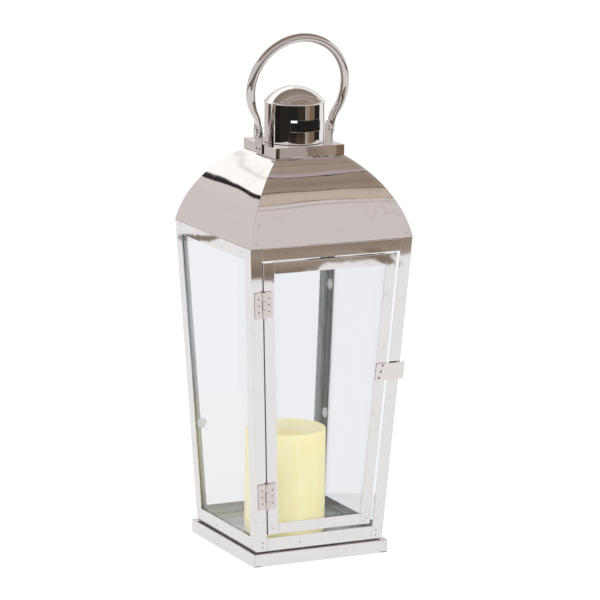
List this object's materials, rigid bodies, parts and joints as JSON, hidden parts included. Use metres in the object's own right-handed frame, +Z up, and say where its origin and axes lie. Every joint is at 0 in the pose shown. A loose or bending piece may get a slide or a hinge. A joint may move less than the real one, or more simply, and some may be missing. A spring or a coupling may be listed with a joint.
{
  "type": "candle lantern",
  "caption": "Tapered polished-steel candle lantern with glass sides, a hinged glass door with a spring latch, a domed roof with a slotted chimney, a swinging ring handle and a pillar candle.",
  "frame": {"origin": "middle of the base's underside", "axes": "+Z up the lantern; the door faces -Y; +X is to the right of a person facing the door, on the latch side"},
  "size_m": [0.1702, 0.1712, 0.4993],
  "materials": {
    "polished_steel": "mirror-polished nickel-bright steel sheet with faint waves and rub marks",
    "galvanised_steel": "dull grey zinc sheet with streaks",
    "bright_fastener": "bright metal, slightly dulled",
    "clear_glass": "clear float glass with faintly green edges",
    "ivory_wax": "smooth satin wax with faint vertical streaks",
    "ivory_plastic": "fine-grained moulded plastic",
    "black_plastic": "moulded plastic",
    "battery_jacket": "printed steel can, no print",
    "amber_lens": "clear amber lens"
  },
  "bodies": {
    "frame": {"base_plinth": "polished_steel", "floor_plate": "galvanised_steel", "post_front_left": "polished_steel", "post_front_right": "polished_steel", "post_rear_left": "polished_steel", "post_rear_right": "polished_steel", "bottom_rail_front": "polished_steel", "bottom_rail_right": "polished_steel", "bottom_rail_rear": "polished_steel", "bottom_rail_left": "polished_steel", "top_rail_front": "polished_steel", "top_rail_right": "polished_steel", "top_rail_rear": "polished_steel", "top_rail_left": "polished_steel", "glass_left": "clear_glass", "glass_right": "clear_glass", "glass_rear": "clear_glass", "roof_front": "polished_steel", "roof_right": "polished_steel", "roof_rear": "polished_steel", "roof_left": "polished_steel", "roof_collar": "polished_steel", "chimney_tube": "polished_steel", "chimney_cap": "polished_steel", "handle_bracket_left": "polished_steel", "handle_bracket_right": "polished_steel", "bracket_rivet_left_front": "bright_fastener", "bracket_rivet_left_rear": "bright_fastener", "bracket_rivet_right_front": "bright_fastener", "bracket_rivet_right_rear": "bright_fastener", "pivot_rivet_left": "bright_fastener", "pivot_rivet_right": "bright_fastener", "hinge_lower_frame_leaf": "polished_steel", "hinge_upper_frame_leaf": "polished_steel", "hinge_lower_pin": "bright_fastener", "hinge_upper_pin": "bright_fastener"},
    "door": {"door_stile_hinge": "polished_steel", "door_stile_latch": "polished_steel", "door_rail_bottom": "polished_steel", "door_rail_top": "polished_steel", "door_glass": "clear_glass", "hinge_lower_door_leaf": "polished_steel", "hinge_upper_door_leaf": "polished_steel", "latch_plate": "polished_steel", "latch_rivet_lower": "bright_fastener", "latch_rivet_middle": "bright_fastener", "latch_rivet_upper": "bright_fastener"},
    "latch": {"latch_arm": "polished_steel"},
    "handle": {"handle_ring": "polished_steel"},
    "candle": {"candle_wax": "ivory_wax", "candle_module": "ivory_plastic", "battery_cover": "ivory_plastic", "candle_lamp": "amber_lens", "battery_front": "battery_jacket", "battery_rear": "battery_jacket"},
    "switch": {"candle_switch": "black_plastic"}
  },
  "joints": [
    {"name": "door_hinge", "type": "hinge", "parent": "frame", "child": "door", "pos_m": [-0.05794, -0.07248, 0.06819], "axis": [0.0598, 0.0598, -0.9964], "range_deg": [0, 170]},
    {"name": "latch_flex", "type": "hinge", "parent": "door", "child": "latch", "pos_m": [0.06234, -0.07804, 0.1808], "axis": [-0.0598, 0.0598, -0.9964], "range_deg": [0, 12], "stiffness_Nm_per_rad": 0.2},
    {"name": "handle_pivot", "type": "hinge", "parent": "frame", "child": "handle", "pos_m": [0, 0, 0.405], "axis": [1, 0, 0], "range_deg": [-126, 106]},
    {"name": "candle_lift", "type": "slide", "parent": "frame", "child": "candle", "axis": [0, 0, 1], "range_m": [0, 0.05]},
    {"name": "switch_slide", "type": "slide", "parent": "candle", "child": "switch", "axis": [1, 0, 0], "range_m": [0, 0.005]}
  ]
}
